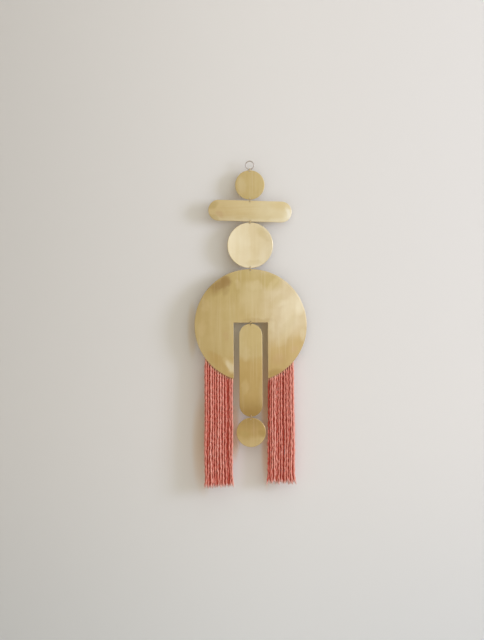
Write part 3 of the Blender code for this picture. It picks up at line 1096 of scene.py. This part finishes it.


# Brushed is how far the streaks are turned from upright, in degrees. Lean is how far the sheet tips
# to the right and up in its middle, and bow how much more it does a half size further out. Rim is
# how much rougher the rounded edge is.
# The washes and spots are partly tarnish and partly painted reflections, highlights and shade.
plates = {
    "top_disc": {
        **disc(top_z, top_radius, SMALL_DISC_SIDES, -0.1 * MM),
        "lean": (0.0, 0.0),
        "bow": (1.0, 0.5),
        "tint": BRASS,
        "washes": [wash(UPWARD, -12, -20, BRASS_OLIVE, 0.6)],
        "spots": [spot(-11, -1, 8, 14, 0, BRASS_PALE, 0.45)],
        "rim": 0.15,
    },
    "cross_bar": {
        "shape": stadium_outline(bar_z, BAR_LENGTH, BAR_HEIGHT, -BAR_TILT),
        "centre": bar_z,
        "half": (BAR_LENGTH / 2, BAR_HEIGHT / 2),
        "holes": (bar_z + bar_half - HOLE_INSET, bar_z - bar_half + HOLE_INSET),
        "dish": dish_of(bar_z, BAR_LENGTH / 2, -0.3 * MM),
        "brushed": 90.0 + BAR_TILT,
        "lean": (3.0, 0.0),
        "bow": (5.0, 0.5),
        "tint": BRASS_LIGHT,
        # Paler and cream towards the right end, with a glint there: painted reflection and
        # highlight.
        "washes": [
            wash(RIGHTWARD, -20, 20, BRASS_PALE, 0.6),
            wash(RIGHTWARD, -5, 45, BRASS_CREAM, 0.5),
            wash(UPWARD, 3, -9, BRASS_PALE, 0.5),
            wash(RIGHTWARD - 20, 40, 51, BRASS_CREAM, 1.0),
            wash(UPWARD - BAR_TILT, -8, -13, BRASS_CREAM, 0.5),
        ],
        "spots": [
            spot(-43, -4, 8, 6, 0, TARNISH_PINK, 0.4),
            spot(-50, 8, 10, 5, 40, BRASS_OLIVE, 0.5),
            spot(-50, -9, 10, 4, -40, BRASS_OLIVE, 0.5),
            spot(41, -12, 17, 4, -2, BRASS_CREAM, 0.7),
            spot(52, -3, 4, 11, 12, BRASS_GLINT, 0.8),
            spot(45, 8, 24, 10, 0, BRASS_LIGHT, 0.6),
        ],
        "rim": 0.1,
    },
    "middle_disc": {
        **disc(middle_z, middle_radius, MIDDLE_DISC_SIDES, 0.3 * MM),
        "lean": (4.0, 0.0),
        "bow": (-2.0, 0.5),
        "tint": BRASS_HONEY,
        # The cream washes are painted reflections.
        "washes": [
            wash(RIGHTWARD, 2, -3, BRASS_CREAM, 0.5),
            wash(UPWARD - 130, 10, 26, BRASS_CREAM, 0.5),
            wash(RIGHTWARD, 12, 28, BRASS_CREAM, 0.3),
        ],
        "spots": [
            spot(17, 15, 13, 8, -50, BRASS_OLIVE, 0.35),
            spot(5, -24, 12, 6, 0, BRASS_OLIVE, 0.3),
        ],
        "rim": 0.0,
    },
    "large_disc": {
        "shape": slotted_outline(large_z, large_radius, slot_half, slot_top),
        "centre": large_z,
        "half": (large_radius, large_radius),
        "holes": (large_z + large_radius - HOLE_INSET, slot_top + HOLE_INSET),
        "dish": dish_of(large_z, large_radius, -0.5 * MM),
        "brushed": 0.0,
        "lean": (1.5, 0.0),
        "bow": (4.0, 1.0),
        "tint": BRASS,
        # Paler and dustier towards the right, with cream spots there: painted reflections of the
        # window.
        "washes": [
            wash(UPWARD, 18, 55, BRASS_OLIVE, 0.8),
            wash(RIGHTWARD, -10, 45, BRASS_DUSTY, 0.85),
            wash(UPWARD - 160, 20, 46, BRASS_GOLD, 0.85),
            wash(UPWARD, -50, -75, BRASS_GOLD, 0.5),
            wash(UPWARD + 50, 58, 80, BRASS_DEEP, 0.3),
        ],
        "spots": [
            spot(-3, 38, 28, 16, 90, BRASS_PALE, 0.45),
            spot(26, 60, 22, 15, -20, BRASS_OLIVE, 0.85),
            spot(-34, 58, 10, 9, 40, TARNISH, 0.85),
            spot(-41, 56, 17, 7, 38, TARNISH, 0.7),
            spot(-42, 55, 23, 12, 40, TARNISH, 0.35),
            spot(-33, 48, 12, 7, 70, TARNISH, 0.35),
            spot(-48, 55, 8, 5, 40, TARNISH, 0.35),
            spot(-17, 56, 8, 6, 90, BRASS_PALE, 0.4),
            spot(-30, 15, 14, 10, 0, BRASS_OLIVE, 0.35),
            spot(10, 7, 26, 5, 0, BRASS_DEEP, 0.3),
            spot(68, 24, 16, 7, 72, BRASS_CREAM, 0.6),
            spot(54, 18, 32, 15, 72, BRASS_CREAM, 0.6),
            spot(44, 30, 12, 5, 35, BRASS_CREAM, 0.4),
            spot(28, 2, 14, 6, 90, BRASS_CREAM, 0.3),
            spot(71, -14, 12, 5, 80, BRASS_CREAM, 0.4),
            spot(30, 55, 16, 5, 55, BRASS_PALE, 0.3),
            spot(36, 32, 18, 7, 50, BRASS_OLIVE, 0.25),
            spot(52, 0, 22, 8, 52, BRASS_OLIVE, 0.2),
            spot(46, -16, 22, 7, 48, BRASS_PALE, 0.3),
            spot(6, 55, 12, 9, 0, BRASS_PALE, 0.4),
            spot(-66, -4, 15, 8, 85, BRASS_LIGHT, 0.5),
            spot(-62, 27, 11, 7, 75, BRASS_LIGHT, 0.35),
            spot(-34, -15, 9, 5, 80, TARNISH_PINK, 0.25),
            spot(-46, -47, 18, 9, -42, BRASS_GOLD, 0.9),
            spot(-33, -49, 10, 6, -50, BRASS_LIGHT, 0.5),
            spot(-25, -57, 17, 8, -58, BRASS_LIGHT, 0.8),
            spot(-26, -57, 16, 5, -54, BRASS_CREAM, 0.5),
            spot(32, -65, 15, 9, 20, BRASS_DEEP, 0.5),
            spot(38, -46, 14, 8, 10, TARNISH_PINK, 0.3),
            spot(58, -34, 8, 6, 40, TARNISH_PINK, 0.35),
        ],
        "rim": 0.25,
    },
    "pendant_bar": {
        "shape": stadium_outline(pendant_z, 2 * pendant_half, 2 * pendant_half_width, 90),
        "centre": pendant_z,
        "half": (pendant_half_width, pendant_half),
        "holes": (pendant_high.z - HOLE_INSET, pendant_low.z + HOLE_INSET),
        "dish": dish_of(pendant_z, pendant_half, -0.2 * MM),
        "brushed": 0.0,
        "lean": (0.0, 0.0),
        "bow": (0.5, 5.0),
        "tint": BRASS,
        # Darker and deeper towards the bottom: a painted reflection.
        "washes": [
            wash(RIGHTWARD, -4, -14, BRASS_PALE, 0.3),
            wash(UPWARD, 22, 9, BRASS_GOLD, 0.95),
            wash(UPWARD, -32, -62, BRASS_DEEP, 0.9),
        ],
        "spots": [
            spot(-6, 22, 14, 8, 90, BRASS_PALE, 0.35),
            spot(-8, -22, 14, 6, 90, BRASS_LIGHT, 0.4),
        ],
        "rim": 0.15,
    },
    "bottom_disc": {
        **disc(bottom_z, bottom_radius, SMALL_DISC_SIDES, 0.1 * MM),
        "holes": (bottom_z + bottom_radius - HOLE_INSET,),
        "lean": (0.0, -4.0),
        "bow": (0.5, -2.0),
        "tint": BRASS_GOLD,
        "washes": [
            wash(UPWARD, 2, 20, BRASS_DEEP, 0.4),
            wash(UPWARD, -1, -12, BRASS_LIGHT, 0.55),
        ],
        "spots": [
            spot(-10, -1, 7, 5, 0, BRASS_OLIVE, 0.4),
            spot(5, 2, 9, 6, 90, TARNISH_PINK, 0.2),
            spot(15, -1, 6, 8, 0, BRASS_DEEP, 0.35),
        ],
        "rim": 0.0,
    },
}
for node, plate in plates.items():
    piece = brass_plate(node + "_sheet", *plate["shape"], plate["holes"], plate["dish"])
    fit(piece, brass_finish(node + "_brass", plate), "brass", node)

# The rings
brass_wire = wire_finish("brass_wire", BRASS_WIRE, roughness=0.28)
steel_wire = wire_finish("steel_wire", STEEL_WIRE, roughness=0.36)
for node in sorted(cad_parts):
    if node.endswith("_link"):
        link = wire_ring(node, LINK_WIRE, True, LINK_CUT, *LINK_SIDES)
        fit(link, brass_wire, "brass", node)
ring = wire_ring("hanging_ring", RING_WIRE, False, 0, *RING_SIDES)
fit(ring, steel_wire, "ring_wire", "hanging_ring")

# The fringes
coral_yarn = yarn_finish()
for side, fringe in FRINGES.items():
    random = np.random.default_rng(fringe["seed"])
    for index in range(YARNS_PER_SIDE):
        node = f"{side}_yarn_{index + 1:02d}"
        twist = yarn_piece(node + "_twist", fringe, index, random)
        fit(twist, coral_yarn, "yarn", node)


# The room

WALL = colour(0.905, 0.895, 0.862)
WALL_LOW_PAINTED_SHADE = colour(0.795, 0.815, 0.81)
DARK = colour(0, 0, 0)
GOLD_GLOW = colour(1.0, 0.95, 0.76)
GOLD_SHADE = colour(0.97, 0.85, 0.62)
CORAL_GLOW = colour(1.0, 0.80, 0.62)
CORAL_GLOW_PALE = colour(1.0, 0.84, 0.68)
CORAL_SHADE = colour(0.80, 0.62, 0.56)
WARM_SHADE = colour(0.94, 0.86, 0.74)
WARM_SHADE_PALE = colour(0.97, 0.90, 0.78)
# Painted glow and shade on the wall, measured from the ring's inner top: behind both sides of
# the slot, beside the pendant further down, behind both fringes, left of the left one and left of
# the large plate.
WALL_PAINTED_GLOW_AND_SHADE = (
    spot(-19, -275, 95, 15, 90, GOLD_GLOW, 1.0),
    spot(19, -275, 95, 15, 90, GOLD_SHADE, 1.0),
    spot(-23, -370, 45, 9, 90, CORAL_GLOW, 0.9),
    spot(21, -375, 80, 9, 90, CORAL_GLOW_PALE, 0.9),
    spot(-43, -370, 78, 19, 90, CORAL_SHADE, 0.6),
    spot(45, -365, 74, 19, 90, CORAL_SHADE, 0.6),
    spot(-66, -385, 80, 18, 90, WARM_SHADE, 1.0),
    spot(-80, -228, 45, 8, 90, WARM_SHADE_PALE, 0.8),
)
FLOOR = colour(0.70, 0.66, 0.60)
ROOM_FAR_LEFT = colour(0.24, 0.20, 0.15)
ROOM_LEFT = colour(0.53, 0.45, 0.34)
ROOM_RIGHT = colour(1.10, 1.12, 1.10)
ROOM_LOW = colour(0.62, 0.53, 0.43)


def room_plane(name, width, depth, place, tipped, turned, finish):
    """A flat rectangle, tipped up from level and then turned about the upright, in degrees. Its
    front faces -Y and up."""
    tip = math.radians(tipped)
    turn = math.radians(turned)
    x = np.array([-1, 1, 1, -1]) * width / 2
    y = np.array([-1, -1, 1, 1]) * depth / 2 * math.cos(tip)
    z = np.array([-1, -1, 1, 1]) * depth / 2 * math.sin(tip)
    across = x * math.cos(turn) - y * math.sin(turn)
    back = x * math.sin(turn) + y * math.cos(turn)
    points = np.stack([across, back, z], axis=-1) + place
    data = bpy.data.meshes.new(name)
    data.from_pydata(points.tolist(), [], [(0, 1, 2, 3)])
    plane = bpy.data.objects.new(name, data)
    bpy.context.scene.collection.objects.link(plane)
    data.materials.append(finish)


def wall_finish():
    """Pale wall with painted shade and glow: a little dimmer on the left and low down where less
    light reaches it, painted warm glow and painted shade close beside the brass and the yarn for
    what they throw back and where they shade it, and nothing at all from behind, so that the back
    of the work can be seen."""
    finish = Finish("wall")
    place = finish.place()
    x, _, z = finish.parts(place)
    # Painted shade: dimmer low down and on the left
    paint = finish.lay(WALL, WALL_LOW_PAINTED_SHADE, z, start=-0.30, end=-0.80)
    paint = finish.lay(paint, DARK, x, start=0.10, end=-0.60, strength=0.26)
    # Painted glow and shade beside the brass and the yarn
    for mark in WALL_PAINTED_GLOW_AND_SHADE:
        cover = spot_cover(finish, place, mark) * mark["strength"]
        paint = finish.mix(cover, paint, mark["tint"], "MULTIPLY")
    front = finish.node("ShaderNodeBsdfDiffuse", {}, {"Color": paint})
    clear = finish.node("ShaderNodeBsdfTransparent")
    behind = finish.node("ShaderNodeNewGeometry", output="Backfacing")
    return finish.output(finish.node("ShaderNodeMixShader", {}, {0: behind, 1: front, 2: clear}))


def floor_finish():
    """Plain and pale."""
    finish = Finish("floor")
    return finish.output(finish.node("ShaderNodeBsdfDiffuse", {}, {"Color": FLOOR}))


object_z = (cad_low.z + cad_high.z) / 2
wall_place = (0.0, WALL_BEHIND, large_z)
floor_place = (0.0, -FLOOR_AHEAD, cad_low.z - FLOOR_DROP)
room_plane("wall", WALL_SPAN, WALL_SPAN, wall_place, 90.0 + WALL_LEAN, -WALL_TURN, wall_finish())
room_plane("floor", FLOOR_SPAN, FLOOR_SPAN, floor_place, 0.0, 0.0, floor_finish())


def soft_light(name, place, towards, width, height, watts, tint):
    """A rectangle of light that faces a place."""
    data = bpy.data.lights.new(name, "AREA")
    data.shape = "RECTANGLE"
    data.size = width
    data.size_y = height
    data.energy = watts
    data.color = tint
    lamp = bpy.data.objects.new(name, data)
    bpy.context.scene.collection.objects.link(lamp)
    lamp.location = place
    lamp.rotation_euler = (Vector(towards) - Vector(place)).to_track_quat("-Z", "Y").to_euler()


window_turn = math.radians(WINDOW_FROM)
window_x = WINDOW_FAR * math.sin(window_turn)
window_y = -WINDOW_FAR * math.cos(window_turn)
soft_light(
    "right_window",
    (window_x, window_y, object_z + WINDOW_RAISE),
    (0.0, 0.0, object_z),
    WINDOW_WIDTH,
    WINDOW_HEIGHT,
    WINDOW_WATTS,
    WINDOW_TINT,
)


def room_light():
    """Soft light from all round: dim and warm on the left and below, bright and cool on the
    right."""
    world = bpy.data.worlds.new("room")
    bpy.context.scene.world = world
    world.use_nodes = True
    finish = Finish("room", world.node_tree)
    direction = finish.node("ShaderNodeTexCoord", output="Generated")
    right, _, up = finish.parts(direction)
    level = finish.lay(ROOM_LEFT, ROOM_RIGHT, right, start=-0.6, end=0.6)
    level = finish.lay(level, ROOM_FAR_LEFT, right, start=-0.3, end=-0.9)
    level = finish.lay(level, ROOM_LOW, up, start=0.1, end=-0.5)
    surface = finish.node("ShaderNodeBackground", {}, {"Color": level, "Strength": 1.0})
    finish.output(surface, "ShaderNodeOutputWorld")


room_light()

# Camera
view = bpy.data.cameras.new("camera")
view.lens = LENS
view.sensor_width = SENSOR
camera = bpy.data.objects.new("camera", view)
bpy.context.scene.collection.objects.link(camera)
camera.location = (CAMERA_X, -PHOTO_HEIGHT * LENS / SENSOR, CAMERA_Z)
roll = Euler((0, 0, math.radians(-CAMERA_ROLL))).to_matrix()
camera.rotation_euler = (Euler((math.pi / 2, 0, 0)).to_matrix() @ roll).to_euler()
bpy.context.scene.camera = camera
bpy.context.scene.view_settings.view_transform = "Standard"
